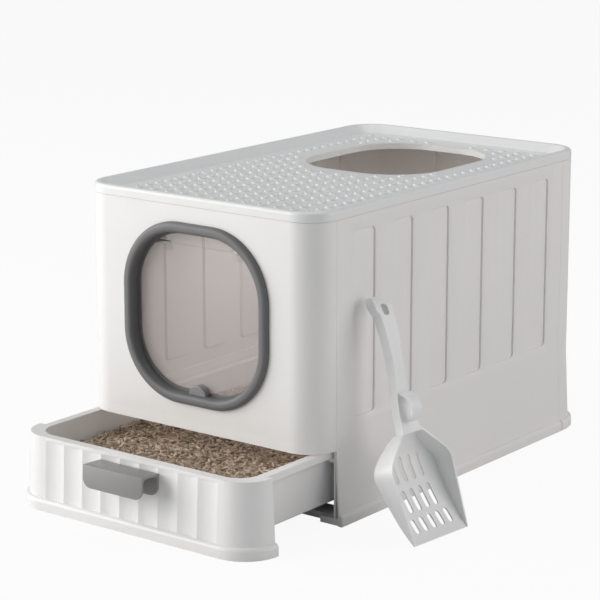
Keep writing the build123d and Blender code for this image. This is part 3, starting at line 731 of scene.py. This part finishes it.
def strewn_pellets(name, pellet, share, lift, tilt):
    """One layer of pellets over the heap, each with its own length, turn and tone."""
    places = []
    tones = []
    for i in range(int(2 * bed_half_x / PELLET_STEP)):
        for j in range(int(2 * heap_half_y / PELLET_STEP)):
            if random.random() > share:
                continue
            x = bed_low.x + (i + random.random()) * PELLET_STEP
            y = bed_low.y - RIM_SHIFT + (j + random.random()) * PELLET_STEP
            length = random.uniform(*PELLET_LENGTHS)
            if corner_reach(x, y, length / 2)[2] > TRAY_CORNER:
                continue
            z = litter_height(x, y) + lift + random.uniform(-PELLET_BOUNCE, PELLET_BOUNCE)
            yaw = random.uniform(0, math.pi)
            pitch = random.gauss(0, tilt)
            roll = random.random()
            places.append(
                Matrix.Translation((x, y, z))
                @ Matrix.Rotation(yaw, 4, "Z")
                @ Matrix.Rotation(pitch, 4, "Y")
                @ Matrix.Rotation(roll, 4, "X")
                @ Matrix.Diagonal((length, 1, 1, 1))
            )
            tones.extend([random.random() * TONE_SPREAD] * (2 * PELLET_SIDES))
    layer = set_out(name, pellet, places, pellet_wood)
    tone = layer.data.attributes.new("tone", "FLOAT", "POINT")
    tone.data.foreach_set("value", tones)
    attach(layer, "drawer")


litter_heap()
pellet = pressed_pellet()
strewn_pellets("pellets_below", pellet, 1.0, lift=-0.3 * PELLET_R, tilt=0.18)
strewn_pellets("pellets_above", pellet, 0.55, lift=0.9 * PELLET_R, tilt=0.22)
bpy.data.objects.remove(pellet)


# ---------------------------------------------------------------- floor, light and camera
def camera_only(tree, plain, seen, share):
    """What the camera sees mixed in by a share over what lights and mirrors meet."""
    path = tree.nodes.new("ShaderNodeLightPath")
    amount = tree.nodes.new("ShaderNodeMath")
    amount.operation = "MULTIPLY"
    amount.inputs[1].default_value = share
    mix = tree.nodes.new("ShaderNodeMixShader")
    tree.links.new(path.outputs["Is Camera Ray"], amount.inputs[0])
    tree.links.new(amount.outputs["Value"], mix.inputs["Fac"])
    tree.links.new(plain, mix.inputs[1])
    tree.links.new(seen, mix.inputs[2])
    return mix.outputs["Shader"]


def floor():
    """Pale floor that shows nearly white and keeps the object's shadow."""
    bpy.ops.mesh.primitive_plane_add(size=30, location=(0, 0, 0))
    plane = bpy.context.object
    plane.name = "floor"
    material, tree, shader = new_material("floor_white")
    shader.inputs["Base Color"].default_value = (0.72, 0.72, 0.72, 1)
    shader.inputs["Roughness"].default_value = 0.8
    shader.inputs["Specular IOR Level"].default_value = 0.0
    white = tree.nodes.new("ShaderNodeEmission")
    mixed = camera_only(tree, shader.outputs["BSDF"], white.outputs["Emission"], 0.93)
    tree.links.new(mixed, tree.nodes["Material Output"].inputs["Surface"])
    plane.data.materials.append(material)


def sky():
    """White surroundings as seen, and a soft even light on the object."""
    world = bpy.data.worlds.new("studio")
    bpy.context.scene.world = world
    world.use_nodes = True
    tree = world.node_tree
    light = tree.nodes["Background"]
    light.inputs["Color"].default_value = (0.93, 0.96, 1.0, 1)
    light.inputs["Strength"].default_value = 0.27
    white = tree.nodes.new("ShaderNodeBackground")
    mixed = camera_only(tree, light.outputs["Background"], white.outputs["Background"], 1.0)
    tree.links.new(mixed, tree.nodes["World Output"].inputs["Surface"])


def soft_box(name, place, target, width, height, power, colour):
    """Rectangular studio light at a place, aimed at a point."""
    light = bpy.data.lights.new(name, "AREA")
    light.shape = "RECTANGLE"
    light.size = width
    light.size_y = height
    light.energy = power
    light.color = colour
    lamp = bpy.data.objects.new(name, light)
    bpy.context.scene.collection.objects.link(lamp)
    lamp.location = place
    lamp.rotation_euler = (Vector(target) - Vector(place)).to_track_quat("-Z", "Y").to_euler()
    return lamp


def lights():
    """A large light on the front, one on the side, a weak one above and one inside the box."""
    soft_box(
        "key", place=(-2.35, -2.15, 1.32), target=(0, -0.2, 0.2),
        width=3.3, height=2.7, power=116, colour=(1.0, 0.985, 0.97),
    )
    soft_box(
        "side", place=(2.9, 1.15, 1.35), target=(0.15, 0.0, 0.15),
        width=3.0, height=2.6, power=41, colour=(1.0, 0.975, 0.96),
    )
    soft_box(
        "top", place=(0.0, 0.6, 2.9), target=(0, 0, 0.3),
        width=1.4, height=1.4, power=12, colour=(0.96, 0.98, 1.0),
    )
    inside = soft_box(
        "inside", place=(0.0, 0.0, 0.335), target=(0, -0.001, 0.0),
        width=0.16, height=0.16, power=0.4, colour=(1.0, 0.96, 0.95),
    )
    inside.visible_camera = False


def camera():
    """Camera that looks down on the drawer and the right side through a long lens."""
    view = bpy.data.cameras.new("camera")
    view.sensor_fit = "HORIZONTAL"
    view.sensor_width = SENSOR_W
    view.lens = CAMERA_LENS
    eye = bpy.data.objects.new("camera", view)
    bpy.context.scene.collection.objects.link(eye)
    eye.matrix_world = (
        Matrix.Translation(CAMERA_PLACE)
        @ Matrix.Rotation(CAMERA_YAW, 4, "Z")
        @ Matrix.Rotation(math.pi / 2 - CAMERA_PITCH, 4, "X")
        @ Matrix.Rotation(CAMERA_ROLL, 4, "Z")
    )
    bpy.context.scene.camera = eye


floor()
sky()
lights()
camera()

bpy.context.scene.view_settings.view_transform = "Standard"
bpy.context.view_layer.update()
